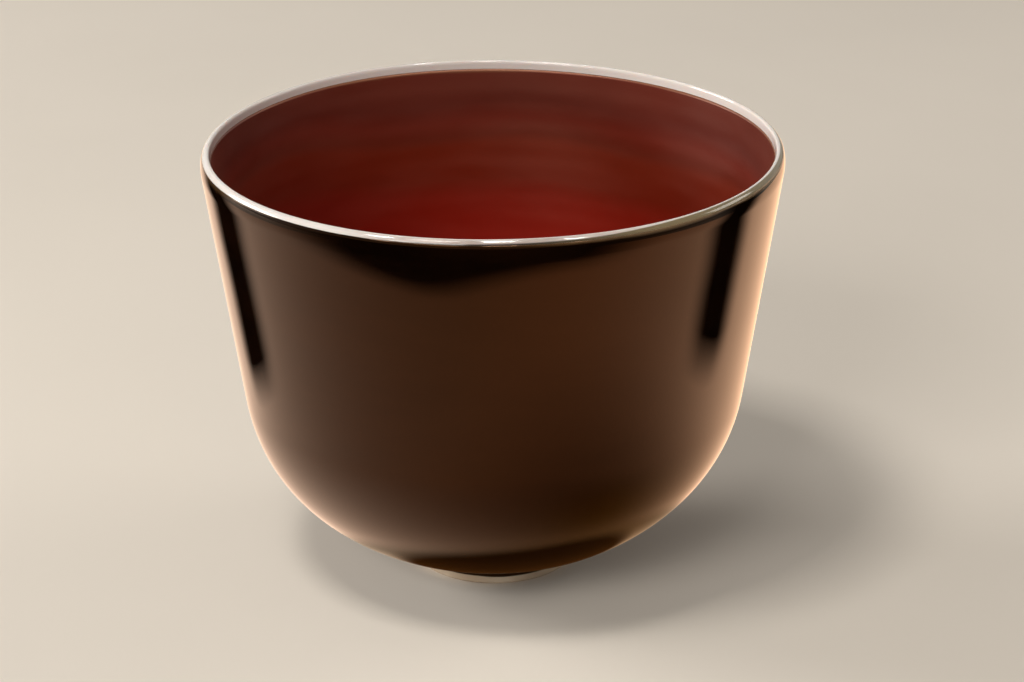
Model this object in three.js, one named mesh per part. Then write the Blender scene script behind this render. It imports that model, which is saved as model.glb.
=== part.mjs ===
// A deep blown glass bowl, in millimetres, standing on z = 0 with +Z up.
// Three glass layers, a wrapped lip and an applied foot share one axis of revolution.
import * as THREE from 'three';

// Outside form
const rimRadius = 120; // outer radius at the shoulder, where the lip starts to turn in
const bowlHeight = 186; // table to the crest of the lip
const lipDrop = 8; // crest down to the shoulder
const wallTaper = 8.4; // lean of the straight wall, in degrees
const bellyTop = 79; // height where the straight wall runs into the belly
const baseClearance = 3; // table to the underside on the axis
const baseFlatness = 0.42; // reach of the underside's level tangent, 0 to 1
const bellyFullness = 0.69; // reach of the wall's tangent into the belly, 0 to 1

// Glass layers
const wallThickness = 4.5;
const floorThickness = 8;
const casingThickness = 1.3; // dark outer skin
const liningThickness = 1.1; // red inner skin
const fuseClearance = 0.1; // between layers that were fused hot

// Lip wrap
const lipCoverOutside = 1.8; // crest down to the wrap's outer edge
const lipCoverInside = 3.8; // crest down to the wrap's inner edge
const crestSetback = 0.9; // inner face of the wall out to the crest
const crestRounding = 2.2; // level reach of the lip's curve outside the crest

// Foot ring and ground pontil mark
const footRadius = 34;
const footWidth = 7;
const footEdgeRadius = 1.2;
const pontilRadius = 10;
const pontilDepth = 0.35; // dish measured from its own rim

// Facets
const turnSteps = 60;
const bellySteps = 10;
const lipSteps = 3;
const edgeSteps = 2;
const pontilSteps = 2;
const seatSteps = 2;

const darkGlass = new THREE.MeshStandardMaterial({ color: 0x24150c, roughness: 0.06, metalness: 0 });
const opalGlass = new THREE.MeshStandardMaterial({ color: 0xd9c6b0, roughness: 0.12, metalness: 0 });
const redGlass = new THREE.MeshStandardMaterial({ color: 0x5c1206, roughness: 0.25, metalness: 0 });
const ivoryGlass = new THREE.MeshStandardMaterial({ color: 0xe6d3c4, roughness: 0.1, metalness: 0 });
const tanGlass = new THREE.MeshStandardMaterial({ color: 0xa58f74, roughness: 0.2, metalness: 0 });

const taper = THREE.MathUtils.degToRad(wallTaper);
const wallUp = new THREE.Vector2(Math.sin(taper), Math.cos(taper));
const shoulderHeight = bowlHeight - lipDrop;

// The straight wall's outer radius, carried on as far as needed
function wallRadius(height) {
  return rimRadius - (shoulderHeight - height) * Math.tan(taper);
}

// Belly and underside in one curve: level on the axis, in line with the wall at the belly's top
function bellyCurve(poleHeight, inset) {
  const top = new THREE.Vector2(wallRadius(bellyTop) - inset, bellyTop);
  const rise = (bellyFullness * (bellyTop - poleHeight)) / wallUp.y;
  const pole = new THREE.Vector2(0, poleHeight);
  const poleReach = new THREE.Vector2(baseFlatness * top.x, poleHeight);
  const topReach = top.clone().addScaledVector(wallUp, -rise);
  return new THREE.CubicBezierCurve(pole, poleReach, topReach, top);
}

// Parameter where a curve reaches a radius or a height that grows along it
function parameterWhere(curve, measure, goal) {
  let low = 0;
  let high = 1;
  while (high - low > 1e-9) {
    const middle = (low + high) / 2;
    if (measure(curve.getPoint(middle)) < goal) {
      low = middle;
    } else {
      high = middle;
    }
  }
  return low;
}

// Points of a curve between two parameters, moved along its left-hand normal by a distance
function offsetPoints(curve, from, to, steps, distance) {
  return Array.from({ length: steps + 1 }, (_, step) => {
    const parameter = from + ((to - from) * step) / steps;
    const along = curve.getTangent(parameter);
    const left = new THREE.Vector2(-along.y, along.x);
    return curve.getPoint(parameter).addScaledVector(left, distance);
  });
}

// A solid of revolution about +Z from points (radius, height), closed on the axis or on itself
function revolve(name, points, material) {
  const geometry = new THREE.LatheGeometry(points, turnSteps);
  geometry.rotateX(Math.PI / 2);
  const mesh = new THREE.Mesh(geometry, material);
  mesh.name = name;
  return mesh;
}

// Inner surface: floor and belly, then the straight wall up to the edge of the lip wrap
const wallInset = wallThickness / wallUp.y;
const insideFloor = bellyCurve(baseClearance + floorThickness, wallInset);
const liningTop = bowlHeight - lipCoverInside;
const insideEdge = new THREE.Vector2(wallRadius(liningTop) - wallInset, liningTop);

// Outer surface: underside and belly, then the straight wall up to the shoulder
const underside = bellyCurve(baseClearance, 0);
const shoulder = new THREE.Vector2(rimRadius, shoulderHeight);

// Lip: a wide rounding outside the crest and a tight one inside it
const crest = new THREE.Vector2(insideEdge.x + crestSetback, bowlHeight);
const lipOutside = new THREE.CubicBezierCurve(
  shoulder,
  shoulder.clone().addScaledVector(wallUp, lipDrop / 2),
  crest.clone().add(new THREE.Vector2(crestRounding, 0)),
  crest,
);
const lipInside = new THREE.CubicBezierCurve(
  insideEdge,
  insideEdge.clone().addScaledVector(wallUp, lipCoverInside / 2),
  crest.clone().sub(new THREE.Vector2(crestSetback, 0)),
  crest,
);

const heightOf = (point) => point.y;
const radiusOf = (point) => point.x;
const casingEnd = parameterWhere(lipOutside, heightOf, bowlHeight - lipCoverOutside);

// Outer surface from an underside parameter up to the wrap's edge, moved into the glass by a depth
function outerSurface(depth, from) {
  const below = offsetPoints(underside, from, 1, bellySteps, depth);
  const above = offsetPoints(lipOutside, 0, casingEnd, lipSteps, depth);
  return [...below, ...above];
}

// Inner surface from the axis up to the wrap's edge, moved into the glass by a depth
function innerSurface(depth) {
  const below = offsetPoints(insideFloor, 0, 1, bellySteps, -depth);
  const above = insideEdge.clone().add(new THREE.Vector2(wallUp.y, -wallUp.x).multiplyScalar(depth));
  return [...below, above];
}

// Dark casing, with the shallow dish that was ground into its underside
function outerCasing() {
  const pontilEdge = parameterWhere(underside, radiusOf, pontilRadius);
  const rimOfDish = underside.getPoint(pontilEdge).y;
  const dishTop = rimOfDish + pontilDepth;
  const dish = Array.from({ length: pontilSteps }, (_, step) => {
    const share = step / pontilSteps;
    return new THREE.Vector2(share * pontilRadius, dishTop + (rimOfDish - dishTop) * share * share);
  });
  const back = outerSurface(casingThickness, 0).reverse();
  return revolve('outer_casing', [...dish, ...outerSurface(0, pontilEdge), ...back], darkGlass);
}

// Pale gather between the two coloured skins
const coreOutside = outerSurface(casingThickness + fuseClearance, 0);
const coreInside = innerSurface(liningThickness + fuseClearance);

function opalCore() {
  return revolve('opal_core', [...coreOutside, ...coreInside.toReversed()], opalGlass);
}

// Red skin on the inside
function redLining() {
  const outside = innerSurface(liningThickness);
  const inside = innerSurface(0).reverse();
  return revolve('red_lining', [...outside, ...inside], redGlass);
}

// Ivory lip, wrapped over the edges of all three layers on one sloped seat
function lipWrap() {
  const raised = new THREE.Vector2(0, fuseClearance);
  const seat = [coreInside.at(-1).clone().add(raised), coreOutside.at(-1).clone().add(raised)];
  const outerEdge = parameterWhere(lipOutside, heightOf, bowlHeight - lipCoverOutside + fuseClearance);
  const innerEdge = parameterWhere(lipInside, heightOf, liningTop + fuseClearance);
  const outside = offsetPoints(lipOutside, outerEdge, 1, lipSteps, 0);
  const inside = offsetPoints(lipInside, innerEdge, 1, lipSteps, 0).reverse().slice(1);
  return revolve('lip_wrap', [...outside, ...inside, ...seat, outside[0].clone()], ivoryGlass);
}

// Foot ring with rounded edges, its top following the casing's underside
function footRing() {
  const innerRadius = footRadius - footWidth;
  const seatFrom = parameterWhere(underside, radiusOf, innerRadius);
  const seatTo = parameterWhere(underside, radiusOf, footRadius);
  const seat = offsetPoints(underside, seatTo, seatFrom, seatSteps, -fuseClearance);
  seat[0].x = footRadius;
  seat[seatSteps].x = innerRadius;
  const innerCentre = innerRadius + footEdgeRadius;
  const outerCentre = footRadius - footEdgeRadius;
  const innerEdge = new THREE.EllipseCurve(
    innerCentre, footEdgeRadius, footEdgeRadius, footEdgeRadius, Math.PI, 1.5 * Math.PI,
  );
  const outerEdge = new THREE.EllipseCurve(
    outerCentre, footEdgeRadius, footEdgeRadius, footEdgeRadius, 1.5 * Math.PI, 2 * Math.PI,
  );
  const outline = [...innerEdge.getPoints(edgeSteps), ...outerEdge.getPoints(edgeSteps), ...seat];
  return revolve('foot_ring', [...outline, outline[0].clone()], tanGlass);
}

const bowl = new THREE.Group();
bowl.add(outerCasing(), opalCore(), redLining(), lipWrap(), footRing());

export default bowl;
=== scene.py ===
import math

import bpy
import numpy as np
from mathutils import Matrix, Vector


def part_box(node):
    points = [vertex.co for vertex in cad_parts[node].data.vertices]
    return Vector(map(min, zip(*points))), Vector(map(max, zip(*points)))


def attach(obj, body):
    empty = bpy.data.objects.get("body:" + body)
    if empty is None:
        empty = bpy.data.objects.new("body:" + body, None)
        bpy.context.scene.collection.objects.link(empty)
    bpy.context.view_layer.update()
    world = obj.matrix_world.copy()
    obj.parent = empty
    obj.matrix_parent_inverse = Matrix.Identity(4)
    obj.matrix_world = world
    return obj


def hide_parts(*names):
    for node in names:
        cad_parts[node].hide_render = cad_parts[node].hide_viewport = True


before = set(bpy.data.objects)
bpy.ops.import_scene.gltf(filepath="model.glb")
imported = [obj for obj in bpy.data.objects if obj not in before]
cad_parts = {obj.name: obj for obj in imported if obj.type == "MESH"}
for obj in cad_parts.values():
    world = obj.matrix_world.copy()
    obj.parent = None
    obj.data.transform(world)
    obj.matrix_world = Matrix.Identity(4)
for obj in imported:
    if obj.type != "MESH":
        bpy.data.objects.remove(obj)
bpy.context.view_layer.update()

scene = bpy.context.scene
scene.view_settings.view_transform = "Standard"
print("frame loaded:", ", ".join(sorted(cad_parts)))


# Form shared by all five pieces, in metres; heights and the foot come from the frame
bowlForm = {
    "rimRadius": 0.120,        # outside, at the shoulder
    "lipDrop": 0.008,          # crest down to the shoulder
    "wallTaper": math.radians(8.4),
    "bellyTop": 0.079,         # where the straight wall runs into the belly
    "baseFlatness": 0.42,      # reach of the underside's level tangent
    "bellyFullness": 0.69,     # reach of the wall's tangent into the belly
    "wallThickness": 0.0045,
    "casingThickness": 0.0013,
    "liningThickness": 0.0011,
    "fuseClearance": 0.0001,   # between layers, as in the CAD solids
    "seam": 0.00002,           # left between pieces that meet on a visible line
    "crestSetback": 0.0013,    # from the inner edge out to the crest
    "crestRounding": 0.0022,   # reach of the crest's level tangent
}
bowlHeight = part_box("lip_wrap")[1].z
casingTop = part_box("outer_casing")[1].z
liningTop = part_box("red_lining")[1].z
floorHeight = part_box("red_lining")[0].z + bowlForm["liningThickness"]
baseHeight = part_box("opal_core")[0].z - bowlForm["casingThickness"] - bowlForm["fuseClearance"]
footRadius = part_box("foot_ring")[1].x
shoulderHeight = bowlHeight - bowlForm["lipDrop"]
wallUp = np.array([math.sin(bowlForm["wallTaper"]), math.cos(bowlForm["wallTaper"])])
wallInset = bowlForm["wallThickness"] / wallUp[1]

# Points on each run of an outline
gridSteps = {
    "turns": 288,              # round the axis
    "belly": 90,
    "wall": 60,
    "liningWall": 90,
    "casingLip": 24,
    "hiddenBelly": 48,         # faces between the layers
    "hiddenWall": 12,
    "hiddenLip": 8,
    "lipLine": 200,            # the lip's curve, before it is cut at a height
    "lipFine": 400,
    "lipKeep": 8,              # one point in so many is kept
    "footEdge": 10,
    "footTop": 9,
    "footSide": 8,
    "footCurve": 400,          # the underside's curve, before it is cut to the foot
    "flag": 80,
}

# What the maker's hands left: sizes in metres, angles in radians
handWork = {
    "bellyDrift": -0.0011,     # sideways set of the belly
    "driftFrom": 0.082,
    "driftFull": 0.024,
    "driftBack": 0.009,        # the foot stays on the axis
    "ovalRim": 0.00022,
    "ovalTurn": 0.7,
    "threeLobe": 0.00012,
    "lobeTurn": 2.1,
    "lipWave": 0.00018,
    "lipWaveTurn": 0.4,
    "lipWaveFrom": 0.12,
    "rimDip": 0.0011,          # the rim sags a little on one side
    "dipTurn": math.radians(-160.0),
    "dipSpan": (0.1, 1.0),     # cosines of the turn away where the sag ends and is full
}


# Smooth step: 0 before the first edge, 1 after the second, 3s^2 - 2s^3 between them
def smoothStep(first, second, value):
    share = np.clip((value - first) / (second - first), 0.0, 1.0)
    return share * share * (3.0 - 2.0 * share)


# Cubic Bezier: four points weighted by the Bernstein polynomials, with its unit tangents
def cubicLine(start, startHandle, endHandle, end, steps):
    t = np.linspace(0.0, 1.0, steps)[:, None]
    s = 1.0 - t
    points = s**3 * start + 3 * s * s * t * startHandle + 3 * s * t * t * endHandle + t**3 * end
    along = s * s * (startHandle - start) + 2 * s * t * (endHandle - startHandle) + t * t * (end - endHandle)
    return points, along / np.linalg.norm(along, axis=1, keepdims=True)


# Each point of a line moved to the left of its travel by a distance
def moveLeft(line, distance):
    points, along = line
    return points + distance * np.stack([-along[:, 1], along[:, 0]], axis=1)


# Outer radius of the straight wall at a height, carried on as far as needed
def wallRadius(height):
    return bowlForm["rimRadius"] - (shoulderHeight - height) * math.tan(bowlForm["wallTaper"])


# Pole to a height on the wall: a Bezier level on the axis and in line with the wall, then a straight run
def sideLine(poleHeight, inset, topHeight, bellySteps, wallSteps):
    bellyTop = bowlForm["bellyTop"]
    top = np.array([wallRadius(bellyTop) - inset, bellyTop])
    pole = np.array([0.0, poleHeight])
    poleReach = np.array([bowlForm["baseFlatness"] * top[0], poleHeight])
    rise = bowlForm["bellyFullness"] * (bellyTop - poleHeight) / wallUp[1]
    belly, bellyAlong = cubicLine(pole, poleReach, top - rise * wallUp, top, bellySteps)
    end = np.array([wallRadius(topHeight) - inset, topHeight])
    wall = top + np.linspace(0.0, 1.0, wallSteps)[1:, None] * (end - top)
    wallAlong = np.repeat(wallUp[None, :], wallSteps - 1, axis=0)
    return np.vstack([belly, wall]), np.vstack([bellyAlong, wallAlong])


# The same with few points, for faces between the layers
def hiddenLine(poleHeight, inset, topHeight):
    return sideLine(poleHeight, inset, topHeight, gridSteps["hiddenBelly"], gridSteps["hiddenWall"])


insideEdge = np.array([wallRadius(liningTop) - wallInset, liningTop])
crest = np.array([insideEdge[0] + bowlForm["crestSetback"], bowlHeight])
shoulder = np.array([bowlForm["rimRadius"], shoulderHeight])


# Shoulder to crest: a Bezier leaving along the wall and arriving level
def lipOutside(steps):
    handle = shoulder + wallUp * bowlForm["lipDrop"] / 2
    return cubicLine(shoulder, handle, crest + np.array([bowlForm["crestRounding"], 0.0]), crest, steps)


# Inner edge to crest: the same, tighter
def lipInside(steps):
    handle = insideEdge + wallUp * (bowlHeight - liningTop) / 2
    return cubicLine(insideEdge, handle, crest - np.array([bowlForm["crestSetback"], 0.0]), crest, steps)


# Part of a line between two heights, with its ends set exactly on them
def between(line, low, high, steps):
    points, along = line
    heights = np.linspace(low, high, steps)
    radii = np.interp(heights, points[:, 1], points[:, 0])
    turned = np.stack([np.interp(heights, points[:, 1], along[:, i]) for i in (0, 1)], axis=1)
    return np.stack([radii, heights], axis=1), turned


# Hand-made form: the belly set sideways, the rim a little oval, three-lobed, sagging and wavy
def handShape(points):
    x, y, z = points.T
    angle = np.arctan2(y, x)
    drift = smoothStep(handWork["driftFrom"], handWork["driftFull"], z)
    drift = drift * smoothStep(handWork["driftBack"], handWork["driftFull"], z)
    upward = smoothStep(0.0, bowlHeight, z)
    out = handWork["ovalRim"] * np.cos(2 * angle + handWork["ovalTurn"])
    out = upward * (out + handWork["threeLobe"] * np.cos(3 * angle + handWork["lobeTurn"]))
    rise = smoothStep(handWork["lipWaveFrom"], bowlHeight, z)
    sag = smoothStep(*handWork["dipSpan"], np.cos(angle - handWork["dipTurn"]))
    lift = handWork["lipWave"] * np.cos(3 * angle + handWork["lipWaveTurn"]) - handWork["rimDip"] * sag
    return np.stack([
        x + out * np.cos(angle) + handWork["bellyDrift"] * drift,
        y + out * np.sin(angle),
        z + rise * lift,
    ], axis=1)


# Surface of revolution: point (r, z) of the outline at angle a is (r cos a, r sin a, z).
# An outline that starts and ends on the axis closes in two poles, any other closes on itself.
def revolve(name, outline, material):
    turns = gridSteps["turns"]
    angles = np.linspace(0.0, 2.0 * math.pi, turns, endpoint=False)
    polar = outline[0, 0] < 1e-9 and outline[-1, 0] < 1e-9
    rings = outline[1:-1] if polar else outline
    radius = rings[:, 0][:, None]
    x = radius * np.cos(angles)
    y = radius * np.sin(angles)
    z = np.repeat(rings[:, 1][:, None], turns, axis=1)
    points = np.stack([x, y, z], axis=-1).reshape(-1, 3)
    count = len(rings)
    row = np.arange(count - 1 if polar else count)[:, None]
    column = np.arange(turns)[None, :]
    nextRow = (row + 1) % count
    nextColumn = (column + 1) % turns
    corners = [row * turns + column, row * turns + nextColumn,
               nextRow * turns + nextColumn, nextRow * turns + column]
    faces = np.stack(corners, axis=-1).reshape(-1, 4).tolist()
    if polar:
        poles = np.array([[0.0, 0.0, outline[0, 1]], [0.0, 0.0, outline[-1, 1]]])
        first = count * turns
        points = np.vstack([points, poles])
        ring = np.arange(turns)
        after = (ring + 1) % turns
        start = (count - 1) * turns
        faces += np.stack([np.full(turns, first), after, ring], axis=1).tolist()
        faces += np.stack([np.full(turns, first + 1), start + ring, start + after], axis=1).tolist()
    mesh = bpy.data.meshes.new(name)
    mesh.from_pydata(handShape(points), [], faces)
    mesh.polygons.foreach_set("use_smooth", np.ones(len(mesh.polygons), dtype=bool))
    mesh.materials.append(material)
    mesh.update()
    piece = bpy.data.objects.new(name, mesh)
    scene.collection.objects.link(piece)
    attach(piece, "root")
    print("made", name, len(mesh.polygons), "faces")
    return piece


# Node helpers: plain values go on the sockets as they are, sockets are linked
def addNode(tree, kind, inputs=(), **settings):
    node = tree.nodes.new(kind)
    for key, value in settings.items():
        setattr(node, key, value)
    for key, value in dict(inputs).items():
        if isinstance(value, bpy.types.NodeSocket):
            tree.links.new(value, node.inputs[key])
        else:
            node.inputs[key].default_value = value
    return node


def newGlass(name):
    material = bpy.data.materials.new(name)
    material.use_nodes = True
    tree = material.node_tree
    return material, tree, tree.nodes["Principled BSDF"]


def setSockets(shader, values):
    for name, value in values.items():
        shader.inputs[name].default_value = value


def objectPlace(tree):
    return addNode(tree, "ShaderNodeTexCoord").outputs["Object"]


def objectAxis(tree, axis):
    return addNode(tree, "ShaderNodeSeparateXYZ", {0: objectPlace(tree)}).outputs[axis]


def calculate(tree, operation, first, second):
    return addNode(tree, "ShaderNodeMath", {0: first, 1: second}, operation=operation).outputs[0]


# Distance from a centre as a share of an oval's half sizes
def ovalShare(tree, centre, half):
    scale = (1.0 / half[0], 1.0 / half[1], 0.0)
    shift = (-centre[0] * scale[0], -centre[1] * scale[1], 0.0)
    values = {"Vector": objectPlace(tree), "Location": shift, "Scale": scale}
    moved = addNode(tree, "ShaderNodeMapping", values).outputs[0]
    return addNode(tree, "ShaderNodeVectorMath", {0: moved}, operation="LENGTH").outputs["Value"]


# Values between which nearly all of a noise, and most of it, lies
noiseWide = (0.3, 0.7)
noiseNarrow = (0.35, 0.65)


def softNoise(tree, scale, stretch=(1.0, 1.0, 1.0), detail=3.0, roughness=0.5):
    place = addNode(tree, "ShaderNodeMapping", {"Vector": objectPlace(tree), "Scale": stretch}).outputs[0]
    values = {"Vector": place, "Scale": scale, "Detail": detail, "Roughness": roughness}
    return addNode(tree, "ShaderNodeTexNoise", values).outputs[0]


def mapRange(tree, value, fromMin, fromMax, toMin=0.0, toMax=1.0):
    values = {"Value": value, "From Min": fromMin, "From Max": fromMax, "To Min": toMin, "To Max": toMax}
    return addNode(tree, "ShaderNodeMapRange", values, interpolation_type="SMOOTHSTEP").outputs[0]


# A value that strays by up to a reach to either side
def astray(tree, value, noise, reach):
    stray = mapRange(tree, softNoise(tree, **noise), *noiseWide, -reach, reach)
    return calculate(tree, "ADD", value, stray)


# The depth of a ragged edge below its top, as a share: 0 at its lower end, 1 at the top
def raggedEdge(tree, height, top, noise, depth):
    ragged = mapRange(tree, softNoise(tree, **noise), *noiseNarrow, *depth)
    return mapRange(tree, height, calculate(tree, "SUBTRACT", top, ragged), top)


def mixColour(tree, share, first, second, blend="MIX"):
    values = {0: share, 6: first, 7: second}
    return addNode(tree, "ShaderNodeMix", values, data_type="RGBA", blend_type=blend).outputs[2]


def mixValue(tree, share, first, second):
    return addNode(tree, "ShaderNodeMix", {0: share, 2: first, 3: second}).outputs[0]


def colourRamp(tree, value, stops):
    node = addNode(tree, "ShaderNodeValToRGB", {0: value})
    elements = node.color_ramp.elements
    elements[0].position, elements[0].color = stops[0]
    elements[1].position, elements[1].color = stops[-1]
    for position, colour in stops[1:-1]:
        elements.new(position).color = colour
    return node.outputs[0]


# The casing was drawn up thinly over one side of the rim: none at the first x, all at the second
veil = {
    "across": (-0.02, 0.085),
    "ragged": 0.03,
    "raggedNoise": {"scale": 14.0, "detail": 2.0},
}


def veilShare(tree):
    across = astray(tree, objectAxis(tree, "X"), veil["raggedNoise"], veil["ragged"])
    return mapRange(tree, across, *veil["across"])


# Dark casing
casing = {
    "deep": (0.0025, 0.0009, 0.0004, 1.0),
    "brown": (0.0060, 0.0020, 0.0007, 1.0),
    "streaks": {"scale": 14.0, "stretch": (1.0, 1.0, 5.0), "detail": 5.0, "roughness": 0.55},
    "streakSpan": (0.35, 0.68),
    "thinEdge": (0.085, 0.044, 0.019, 1.0),  # where the casing thins out under the lip
    "thinVeil": (0.19, 0.125, 0.068, 1.0),   # the same on the veiled side
    "edgeDepth": (0.0006, 0.0036),           # least and most depth of the thin edge, round the rim
    "edgeNoise": {"scale": 7.0, "detail": 4.0},
    "amber": (0.030, 0.009, 0.002, 1.0),     # where it thins out round the foot
    "amberFrom": 0.012,
    "amberTo": 0.005,
    "roughness": (0.03, 0.06),
    "smears": {"scale": 30.0, "stretch": (1.0, 1.0, 3.0)},
    "footRoughness": 0.5,                    # the polish is lost close to the foot
    "dullFrom": 0.0200,
    "dullTo": 0.0165,
    "waveHeight": 0.00025,
    "waves": {"scale": 11.0, "stretch": (1.0, 1.0, 2.5), "detail": 1.0},
    "tint": (0.155, 0.071, 0.028, 1.0),      # lustre: brown head-on, white at a glance
    "ior": 2.0,
    "pontilRadius": 0.010,
    "pontilDepth": 0.00035,
}


def darkGlass():
    material, tree, shader = newGlass("dark glass")
    streaks = softNoise(tree, **casing["streaks"])
    body = colourRamp(tree, streaks, list(zip(casing["streakSpan"], (casing["deep"], casing["brown"]))))
    height = objectAxis(tree, "Z")
    thin = mixColour(tree, veilShare(tree), casing["thinEdge"], casing["thinVeil"])
    edge = raggedEdge(tree, height, casingTop, casing["edgeNoise"], casing["edgeDepth"])
    body = mixColour(tree, edge, body, thin)
    low = mapRange(tree, height, casing["amberFrom"], casing["amberTo"])
    body = mixColour(tree, low, body, casing["amber"])
    tree.links.new(body, shader.inputs["Base Color"])
    polish = mapRange(tree, softNoise(tree, **casing["smears"]), *noiseWide, *casing["roughness"])
    dull = mapRange(tree, height, casing["dullFrom"], casing["dullTo"])
    tree.links.new(mixValue(tree, dull, polish, casing["footRoughness"]), shader.inputs["Roughness"])
    relief = {"Height": softNoise(tree, **casing["waves"]), "Distance": casing["waveHeight"], "Strength": 1.0}
    tree.links.new(addNode(tree, "ShaderNodeBump", relief).outputs[0], shader.inputs["Normal"])
    setSockets(shader, {"IOR": casing["ior"], "Specular Tint": casing["tint"]})
    return material


# Casing: up the outside into the lip's rounding and back inside it. The ground dish under the base is
# a parabola that falls from its top on the axis to its rim.
def outerCasing():
    bellySteps = gridSteps["belly"]
    below = sideLine(baseHeight, 0.0, shoulderHeight, bellySteps, gridSteps["wall"])[0]
    lipLine = lipOutside(gridSteps["lipLine"])
    lipEnd = casingTop - bowlForm["seam"]
    lip = between(lipLine, shoulderHeight, lipEnd, gridSteps["casingLip"])[0]
    outside = np.vstack([below, lip[1:]])
    dishRim = np.interp(casing["pontilRadius"], below[:bellySteps, 0], below[:bellySteps, 1])
    share = outside[:, 0] / casing["pontilRadius"]
    dish = dishRim + casing["pontilDepth"] * (1.0 - share * share)
    outside[:, 1] = np.where(share < 1.0, np.maximum(outside[:, 1], dish), outside[:, 1])
    depth = bowlForm["casingThickness"]
    innerBelow = moveLeft(hiddenLine(baseHeight, 0.0, shoulderHeight), depth)
    innerLip = moveLeft(between(lipLine, shoulderHeight, lipEnd, gridSteps["hiddenLip"]), depth)
    inside = np.vstack([innerBelow, innerLip[1:]])[::-1]
    piece = revolve("casing_glass", np.vstack([outside, inside]), darkGlass())
    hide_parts("outer_casing")


# Pale core, hidden between the two skins
core = {
    "milk": (0.60, 0.48, 0.38, 1.0),
    "cream": (0.68, 0.57, 0.46, 1.0),
    "clouds": {"scale": 40.0},
    "roughness": 0.12,
}


def opalGlass():
    material, tree, shader = newGlass("opal glass")
    colour = mixColour(tree, softNoise(tree, **core["clouds"]), core["milk"], core["cream"])
    tree.links.new(colour, shader.inputs["Base Color"])
    setSockets(shader, {"Roughness": core["roughness"]})
    return material


# Core: the casing's line and the lining's, each moved into the wall
def opalCore():
    outDepth = bowlForm["casingThickness"] + bowlForm["fuseClearance"]
    inDepth = bowlForm["liningThickness"] + bowlForm["fuseClearance"]
    below = moveLeft(hiddenLine(baseHeight, 0.0, shoulderHeight), outDepth)
    lipLine = lipOutside(gridSteps["lipLine"])
    lip = moveLeft(between(lipLine, shoulderHeight, casingTop, gridSteps["hiddenLip"]), outDepth)
    inside = moveLeft(hiddenLine(floorHeight, wallInset, liningTop), -inDepth)[::-1]
    piece = revolve("core_glass", np.vstack([below, lip[1:], inside]), opalGlass())
    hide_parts("opal_core")


# Red lining
lining = {
    # Partly painted light: the red is lighter and more saturated low down for painted bounced red light, and
    # browner near the lip for a painted haze of reflection; the soft bands between turns are the glass's own
    "turns": [                   # height and colour of each turn, floor to lip: soft bands of the gather, with painted light in them
        (0.011, (0.34, 0.0075, 0.0022, 1.0)),
        (0.100, (0.28, 0.0065, 0.0020, 1.0)),
        (0.128, (0.20, 0.0075, 0.0020, 1.0)),
        (0.136, (0.145, 0.0090, 0.0016, 1.0)),
        (0.150, (0.145, 0.0110, 0.0020, 1.0)),
        (0.154, (0.110, 0.0100, 0.0030, 1.0)),
        (0.160, (0.125, 0.0105, 0.0042, 1.0)),
        (0.167, (0.090, 0.0090, 0.0044, 1.0)),
        (0.175, (0.105, 0.0130, 0.0065, 1.0)),
    ],
    "wander": 0.006,             # how far a turn strays from level
    "wanderNoise": {"scale": 6.0, "detail": 1.0},
    "cloud": (0.88, 1.10),       # darkest and lightest
    "clouds": {"scale": 9.0, "detail": 4.0},
    "thinEdge": (0.20, 0.080, 0.036, 1.0),   # where the red thins out under the lip
    "edgeDepth": (0.0010, 0.0032),
    "edgeNoise": {"scale": 8.0, "detail": 4.0},
    "roughness": (0.36, 0.46),
    "smears": {"scale": 22.0, "stretch": (1.0, 1.0, 3.0)},
    "tint": (1.0, 0.50, 0.36, 1.0),
    "ior": 1.5,
    "haze": 0.06,
    "hazeRoughness": 0.3,
    "hazeTint": (1.0, 0.60, 0.42, 1.0),
    "ripple": 0.00003,           # soft rings left by the blowing
    "ringSpacing": 0.019,
    "secondRipple": 0.6,         # a second set over the first: height, pitch and turn against it
    "secondPitch": 2.3,
    "secondTurn": 1.0,
    "ringsFull": 0.03,           # radius from which the rings are full
    "ringsEnd": 0.006,           # fade below the lip
}


def redGlass():
    material, tree, shader = newGlass("red glass")
    height = objectAxis(tree, "Z")
    level = astray(tree, height, lining["wanderNoise"], lining["wander"])
    share = calculate(tree, "DIVIDE", level, liningTop)
    # Painted light along the height: lighter, redder red low down and browner red near the lip
    colour = colourRamp(tree, share, [(turn / liningTop, tone) for turn, tone in lining["turns"]])
    cloud = mapRange(tree, softNoise(tree, **lining["clouds"]), *noiseWide, *lining["cloud"])
    colour = mixColour(tree, 1.0, colour, cloud, "MULTIPLY")
    edge = raggedEdge(tree, height, liningTop, lining["edgeNoise"], lining["edgeDepth"])
    colour = mixColour(tree, edge, colour, lining["thinEdge"])
    tree.links.new(colour, shader.inputs["Base Color"])
    polish = mapRange(tree, softNoise(tree, **lining["smears"]), *noiseWide, *lining["roughness"])
    tree.links.new(polish, shader.inputs["Roughness"])
    setSockets(shader, {
        "IOR": lining["ior"],
        "Specular Tint": lining["tint"],
        "Sheen Weight": lining["haze"],
        "Sheen Roughness": lining["hazeRoughness"],
        "Sheen Tint": lining["hazeTint"],
    })
    return material


# Lining: the inner wall with soft rings, moved off its line by the sum of two cosines of the height
def redLining():
    top = liningTop - bowlForm["seam"]
    line = sideLine(floorHeight, wallInset, top, gridSteps["belly"], gridSteps["liningWall"])
    radius, height = line[0].T
    phase = 2.0 * math.pi * height / lining["ringSpacing"]
    second = lining["secondRipple"] * np.cos(lining["secondPitch"] * phase + lining["secondTurn"])
    rings = lining["ripple"] * (np.cos(phase) + second)
    fade = smoothStep(0.0, lining["ringsFull"], radius)
    fade = fade * smoothStep(liningTop, liningTop - lining["ringsEnd"], height)
    inside = moveLeft(line, (rings * fade)[:, None])
    outside = moveLeft(hiddenLine(floorHeight, wallInset, top), -bowlForm["liningThickness"])
    piece = revolve("lining_glass", np.vstack([outside, inside[::-1]]), redGlass())
    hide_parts("red_lining")


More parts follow.
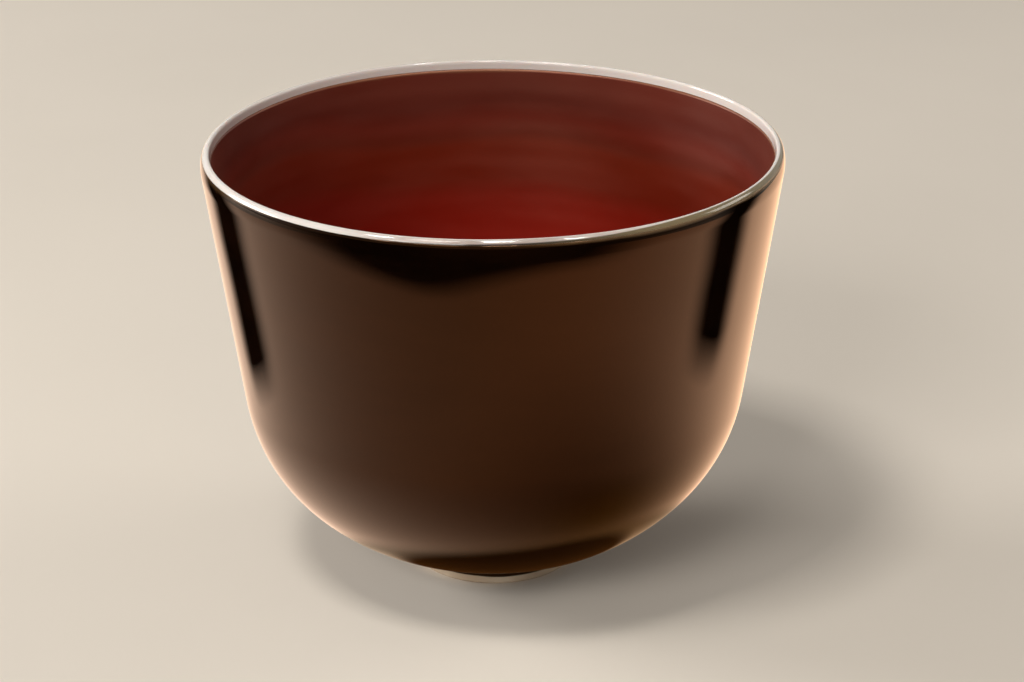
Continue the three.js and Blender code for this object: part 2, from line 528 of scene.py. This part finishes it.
# Ivory lip
lipGlass = {
    "ivory": (0.46, 0.375, 0.335, 1.0),
    "cream": (0.53, 0.445, 0.405, 1.0),
    "clouds": {"scale": 55.0, "stretch": (1.0, 1.0, 2.0), "detail": 4.0},
    "white": (0.74, 0.695, 0.665, 1.0),      # towards the bare side
    "whiteTurn": (-0.015, -0.070),           # x where it starts, and where it is full
    "milk": (0.79, 0.725, 0.68, 1.0),        # down the inside
    "milkFrom": (0.0008, -0.0004),           # out from the crest
    "dark": (0.020, 0.013, 0.006, 1.0),      # casing drawn up over the lip, thick on the bare side
    "veil": (0.22, 0.165, 0.078, 1.0),       # and thin on the veiled one
    "paleDrop": (0.0016, 0.0006, 0.0001),    # from the crest down to it: bare side, front, veiled side
    "paleTurn": (-0.072, -0.020),            # x where it starts to climb, and where it is up
    "veilTurn": (0.035, 0.090),              # the same for its second climb
    "veilSoft": 0.0004,
    "roughness": 0.07,
    "ior": 1.5,
    "subsurface": 0.25,
    "scatter": (1.0, 0.7, 0.5),
    "scatterScale": 0.0015,
}


def ivoryGlass():
    material, tree, shader = newGlass("ivory glass")
    share = mapRange(tree, softNoise(tree, **lipGlass["clouds"]), *noiseNarrow)
    colour = mixColour(tree, share, lipGlass["ivory"], lipGlass["cream"])
    across = objectAxis(tree, "X")
    colour = mixColour(tree, mapRange(tree, across, *lipGlass["whiteTurn"]), colour, lipGlass["white"])
    radius = ovalShare(tree, (0.0, 0.0), (1.0, 1.0))
    inward = mapRange(tree, radius, *[crest[0] + out for out in lipGlass["milkFrom"]])
    thin = veilShare(tree)
    colour = mixColour(tree, calculate(tree, "MAXIMUM", inward, thin), colour, lipGlass["milk"])
    outside = lipOutside(gridSteps["lipLine"])[0]
    paleEnd = bowlHeight - np.array(lipGlass["paleDrop"])
    bare, front, veiled = np.interp(paleEnd, outside[:, 1], outside[:, 0])
    start = mapRange(tree, across, *lipGlass["paleTurn"], bare, front)
    climb = mapRange(tree, across, *lipGlass["veilTurn"], 0.0, front - veiled)
    start = calculate(tree, "SUBTRACT", start, climb)
    end = calculate(tree, "ADD", start, lipGlass["veilSoft"])
    drawn = mixColour(tree, thin, lipGlass["dark"], lipGlass["veil"])
    colour = mixColour(tree, mapRange(tree, radius, start, end), colour, drawn)
    tree.links.new(colour, shader.inputs["Base Color"])
    setSockets(shader, {
        "Roughness": lipGlass["roughness"],
        "IOR": lipGlass["ior"],
        "Subsurface Weight": lipGlass["subsurface"],
        "Subsurface Radius": lipGlass["scatter"],
        "Subsurface Scale": lipGlass["scatterScale"],
    })
    return material


# Lip: up the outer rounding to the crest, down the inner one, then back along the sloped seat
def lipWrap():
    seam = bowlForm["seam"]
    keep = gridSteps["lipKeep"]
    outside = lipOutside(gridSteps["lipFine"])
    up = outside[0][outside[0][:, 1] >= casingTop + seam][::keep]
    inside = lipInside(gridSteps["lipFine"])[0]
    down = inside[inside[:, 1] >= liningTop + seam][::-1][keep::keep]
    outDepth = bowlForm["casingThickness"] + bowlForm["fuseClearance"]
    inDepth = bowlForm["liningThickness"] + bowlForm["fuseClearance"]
    raised = np.array([0.0, bowlForm["fuseClearance"]])
    seatOut = moveLeft(between(outside, casingTop, casingTop, 1), outDepth) + raised
    seatIn = insideEdge + inDepth * np.array([wallUp[1], -wallUp[0]]) + raised
    outline = np.vstack([up, crest[None, :], down, seatIn[None, :], seatOut])
    piece = revolve("lip_glass", outline, ivoryGlass())
    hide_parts("lip_wrap")


# Foot ring
foot = {
    "width": 0.007,
    "edge": 0.0012,
    "tan": (0.66, 0.52, 0.38, 1.0),
    "cream": (0.78, 0.66, 0.51, 1.0),
    "clouds": {"scale": 60.0, "stretch": (1.0, 1.0, 2.0), "detail": 4.0},
    "roughness": (0.12, 0.2),
    "groundRoughness": 0.5,
    "groundTop": 0.0004,
    "dark": (0.026, 0.013, 0.005, 1.0),      # the casing's glass, drawn down over the top of the foot
    "darkFrom": (0.0032, 0.0037),
    "darkWander": 0.0002,
    "darkNoise": {"scale": 25.0},
}


def tanGlass():
    material, tree, shader = newGlass("tan glass")
    cloud = softNoise(tree, **foot["clouds"])
    colour = mixColour(tree, mapRange(tree, cloud, *noiseNarrow), foot["tan"], foot["cream"])
    height = objectAxis(tree, "Z")
    level = astray(tree, height, foot["darkNoise"], foot["darkWander"])
    colour = mixColour(tree, mapRange(tree, level, *foot["darkFrom"]), colour, foot["dark"])
    tree.links.new(colour, shader.inputs["Base Color"])
    polish = mapRange(tree, cloud, *noiseWide, *foot["roughness"])
    ground = mapRange(tree, height, foot["groundTop"], 0.0)
    tree.links.new(mixValue(tree, ground, polish, foot["groundRoughness"]), shader.inputs["Roughness"])
    return material


# Foot: quarter circles on both lower edges, a flat ground face between them, the top on the underside's curve
def footRing():
    edge = foot["edge"]
    quarter = np.linspace(0.0, 0.5 * math.pi, gridSteps["footEdge"])
    innerRadius = footRadius - foot["width"]
    inner = np.stack([innerRadius + edge * (1 - np.cos(quarter)), edge * (1 - np.sin(quarter))], axis=1)
    outer = np.stack([footRadius - edge * (1 - np.sin(quarter)), edge * (1 - np.cos(quarter))], axis=1)
    curveSteps = gridSteps["footCurve"]
    curve = sideLine(baseHeight, 0.0, shoulderHeight, curveSteps, 2)[0][:curveSteps]
    radii = np.linspace(footRadius, innerRadius, gridSteps["footTop"])
    heights = np.interp(radii, curve[:, 0], curve[:, 1]) - bowlForm["seam"]
    top = np.stack([radii, heights], axis=1)
    side = np.linspace(0.0, 1.0, gridSteps["footSide"])[1:-1, None]
    outerSide = outer[-1] + side * (top[0] - outer[-1])
    innerSide = top[-1] + side * (inner[0] - top[-1])
    outline = np.vstack([inner, outer, outerSide, top, innerSide])
    piece = revolve("foot_glass", outline, tanGlass())
    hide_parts("foot_ring")


outerCasing()
opalCore()
redLining()
lipWrap()
footRing()
print("pieces made")


# Camera at the photograph's angle: sizes in metres, the picture taken as 1024 by 682
view = {
    "target": Vector((0.00768, 0.0, 0.09754)),
    "distance": 1.3,
    "elevation": math.radians(21.86),
    "roll": math.radians(-0.159),
    "focalPixels": 3073.0,
    "pictureWidth": 1024.0,
    "sensor": 36.0,
}


def placeCamera():
    data = bpy.data.cameras.new("camera")
    data.sensor_width = view["sensor"]
    data.lens = view["sensor"] * view["focalPixels"] / view["pictureWidth"]
    camera = bpy.data.objects.new("camera", data)
    scene.collection.objects.link(camera)
    backward = Vector((0.0, -math.cos(view["elevation"]), math.sin(view["elevation"])))
    tilt = Matrix.Rotation(0.5 * math.pi - view["elevation"], 4, "X")
    roll = Matrix.Rotation(view["roll"], 4, "Z")
    camera.matrix_world = Matrix.Translation(view["target"] + backward * view["distance"]) @ tilt @ roll
    scene.camera = camera


# Studio: a pale floor and a pale surround
studio = {
    "floorSize": 14.0,
    "floorColour": (0.84, 0.775, 0.69, 1.0),
    "floorGrain": (0.97, 1.0),
    "grainNoise": {"scale": 3.0},
    "floorRoughness": 0.9,
    "floorGloss": 0.0,
    "surround": (0.86, 0.82, 0.77, 1.0),
    "surroundStrength": 0.85,
    "fill": (1.0, 0.96, 0.91, 1.0),
    "fillStrength": 0.14,
}


def levelSquare(half, height):
    return [(-half, -half, height), (half, -half, height), (half, half, height), (-half, half, height)]


def layFloor():
    mesh = bpy.data.meshes.new("floor")
    mesh.from_pydata(levelSquare(studio["floorSize"] / 2, 0.0), [], [(0, 1, 2, 3)])
    material, tree, shader = newGlass("pale floor")
    grain = mapRange(tree, softNoise(tree, **studio["grainNoise"]), *noiseWide, *studio["floorGrain"])
    colour = mixColour(tree, 1.0, studio["floorColour"], grain, "MULTIPLY")
    tree.links.new(colour, shader.inputs["Base Color"])
    setSockets(shader, {"Roughness": studio["floorRoughness"], "Specular IOR Level": studio["floorGloss"]})
    mesh.materials.append(material)
    floor = bpy.data.objects.new("floor", mesh)
    scene.collection.objects.link(floor)


# Cards are seen only in gloss and paint reflections: black flags round the bowl for dark reflections, a
# glowing table top with painted shadows, bright squares overhead for painted highlights
def layCard(name, points, faces, material):
    mesh = bpy.data.meshes.new(name)
    mesh.from_pydata(points, [], faces)
    mesh.materials.append(material)
    card = bpy.data.objects.new(name, mesh)
    card.visible_camera = False
    card.visible_diffuse = False
    card.visible_shadow = False
    scene.collection.objects.link(card)
    return card


def newCard(name):
    material = bpy.data.materials.new(name)
    material.use_nodes = True
    material.node_tree.nodes.clear()
    return material, material.node_tree


def finishCard(tree, shade):
    addNode(tree, "ShaderNodeOutputMaterial", {"Surface": shade.outputs[0]})


# Black strips, seen only in the glass as painted dark reflections. Headings are in degrees from the front, to
# the right; a strip fades out over its span to either side of its middle, and over its softness along the
# upper and lower edges.
darkReflectionColour = (0.004, 0.003, 0.003, 1.0)
flags = {
    "front": {"radius": 0.30, "middle": -9.0, "span": (36.0, 70.0), "top": 0.21, "low": 0.017,
              "turn": -20.0, "round": 8.0, "slope": 0.00043, "lean": 0.00007, "soft": 0.010},
    "left": {"radius": 0.20, "middle": -101.0, "span": (5.0, 17.0), "top": 0.24, "low": 0.001,
             "turn": -108.0, "round": 8.0, "slope": 0.0010, "lean": 0.0, "soft": 0.025},
    "right": {"radius": 0.22, "middle": 84.0, "span": (4.0, 16.0), "top": 0.22, "low": 0.003,
              "turn": 88.0, "round": 8.0, "slope": 0.0012, "lean": 0.0, "soft": 0.030},
}


# Flag: an upright strip round the axis, its lower edge low + slope * sqrt(turn^2 + round^2) - lean * turn.
# The darkness is kept on the points: none on the edges and the ends.
def standFlag(name, flag, material):
    fadeFrom, fadeTo = flag["span"]
    away = np.linspace(-fadeTo, fadeTo, gridSteps["flag"])
    headings = flag["middle"] + away
    turn = headings - flag["turn"]
    low = flag["low"] + flag["slope"] * np.hypot(turn, flag["round"]) - flag["lean"] * turn
    top = np.full_like(low, flag["top"])
    z = np.stack([low, low + flag["soft"], top - flag["soft"], top])
    x = np.broadcast_to(flag["radius"] * np.sin(np.radians(headings)), z.shape)
    y = np.broadcast_to(-flag["radius"] * np.cos(np.radians(headings)), z.shape)
    dark = np.array([0.0, 1.0, 1.0, 0.0])[:, None] * smoothStep(fadeTo, fadeFrom, np.abs(away))
    count = len(headings)
    start = np.arange(3)[:, None] * count + np.arange(count - 1)
    faces = np.stack([start, start + 1, start + count + 1, start + count], axis=-1).reshape(-1, 4).tolist()
    card = layCard("flag_" + name, np.stack([x, y, z], axis=-1).reshape(-1, 3), faces, material)
    card.data.attributes.new("dark", "FLOAT", "POINT").data.foreach_set("value", dark.ravel())


def standFlags():
    material, tree = newCard("flag felt")
    dark = addNode(tree, "ShaderNodeAttribute", attribute_name="dark").outputs["Fac"]
    darkReflection = addNode(tree, "ShaderNodeBsdfDiffuse", {"Color": darkReflectionColour}).outputs[0]
    clear = addNode(tree, "ShaderNodeBsdfTransparent").outputs[0]
    finishCard(tree, addNode(tree, "ShaderNodeMixShader", {0: dark, 1: clear, 2: darkReflection}))
    for name, flag in flags.items():
        standFlag(name, flag, material)


# Painted reflection of a lit table top, with the bowl's shadows painted on it as dark ovals
paintedTable = {
    "height": 0.0004,
    "reach": 0.9,
    "left": (1.73, 1.19, 0.86, 1.0),
    "right": (2.19, 1.31, 0.80, 1.0),
    "turn": (-0.12, 0.20),     # x from the left colour to the right one
    # painted shadows one over another: colour, centre and half sizes of the oval, shares where it starts and
    # is full
    "underBelly": ((0.66, 0.49, 0.34, 1.0), (0.012, 0.0), (0.091, 0.0955), (1.0, 0.8)),
    "frontRight": ((0.41, 0.164, 0.026, 1.0), (0.077, -0.100), (0.200, 0.200), (1.0, 0.0)),
    "roundFoot": ((0.071, 0.024, 0.005, 1.0), (0.012, -0.040), (0.058, 0.042), (1.12, 0.82)),
}


# Painted table reflection: a card that glows for reflections only, two warm lights from left to right with
# three soft oval painted shadows over them
def layPaintedTable():
    material, tree = newCard("painted reflection card")
    across = mapRange(tree, objectAxis(tree, "X"), *paintedTable["turn"])
    colour = mixColour(tree, across, paintedTable["left"], paintedTable["right"])
    for shade in ("underBelly", "frontRight", "roundFoot"):
        tone, centre, half, edge = paintedTable[shade]
        colour = mixColour(tree, mapRange(tree, ovalShare(tree, centre, half), *edge), colour, tone)
    finishCard(tree, addNode(tree, "ShaderNodeEmission", {"Color": colour}))
    layCard("painted_table_reflection", levelSquare(paintedTable["reach"], paintedTable["height"]), [(0, 1, 2, 3)], material)


glints = {
    "places": [(-1.10, -0.60), (0.02, -0.50), (0.80, -0.80)],
    "height": 2.0,
    "size": 0.24,
    "strength": 160.0,
}


# Glints: small bright squares overhead, for the polish of the lip
def hangGlints():
    material, tree = newCard("glint card")
    finishCard(tree, addNode(tree, "ShaderNodeEmission", {"Strength": glints["strength"]}))
    half = glints["size"] / 2
    for number, (x, y) in enumerate(glints["places"]):
        corners = [(x - half, y - half), (x - half, y + half), (x + half, y + half), (x + half, y - half)]
        points = [(*corner, glints["height"]) for corner in corners]
        layCard(f"glint_{number}", points, [(0, 1, 2, 3)], material)


# The surround is pale to the eye and in reflections, and a weak even fill otherwise
def surround():
    world = bpy.data.worlds.new("surround")
    world.use_nodes = True
    tree = world.node_tree
    path = addNode(tree, "ShaderNodeLightPath").outputs
    seen = calculate(tree, "MAXIMUM", path["Is Camera Ray"], path["Is Glossy Ray"])
    seen = calculate(tree, "MAXIMUM", seen, path["Is Transmission Ray"])
    weak = {"Color": studio["fill"], "Strength": studio["fillStrength"]}
    pale = {"Color": studio["surround"], "Strength": studio["surroundStrength"]}
    fill = addNode(tree, "ShaderNodeBackground", weak).outputs[0]
    shown = addNode(tree, "ShaderNodeBackground", pale).outputs[0]
    mixed = addNode(tree, "ShaderNodeMixShader", {0: seen, 1: fill, 2: shown})
    tree.links.new(mixed.outputs[0], tree.nodes["World Output"].inputs["Surface"])
    scene.world = world


# Soft lamps, aimed at the middle of the bowl
lamps = {
    "key": {"place": (-0.6, -0.7, 2.2), "size": (0.5, 0.5), "power": 18.0, "colour": (1.0, 0.96, 0.90)},
    "front": {"place": (-1.6, -3.1, 2.1), "size": (1.8, 1.4), "power": 66.0, "colour": (1.0, 0.96, 0.91)},
    "left": {"place": (-3.4, 1.0, 1.2), "size": (1.8, 0.9), "power": 90.0, "colour": (1.0, 0.97, 0.93)},
    "right": {"place": (3.4, 1.1, 1.8), "size": (1.7, 1.1), "power": 26.0, "colour": (1.0, 0.95, 0.88)},
}


def hangLamps():
    for name, lamp in lamps.items():
        data = bpy.data.lights.new(name, "AREA")
        data.shape = "RECTANGLE"
        data.size, data.size_y = lamp["size"]
        data.energy = lamp["power"]
        data.color = lamp["colour"]
        light = bpy.data.objects.new(name, data)
        scene.collection.objects.link(light)
        place = Vector(lamp["place"])
        aim = Vector((0.0, 0.0, 0.5 * bowlHeight)) - place
        light.matrix_world = Matrix.Translation(place) @ aim.to_track_quat("-Z", "Y").to_matrix().to_4x4()


placeCamera()
layFloor()
standFlags()
layPaintedTable()
hangGlints()
surround()
hangLamps()
print("studio set")
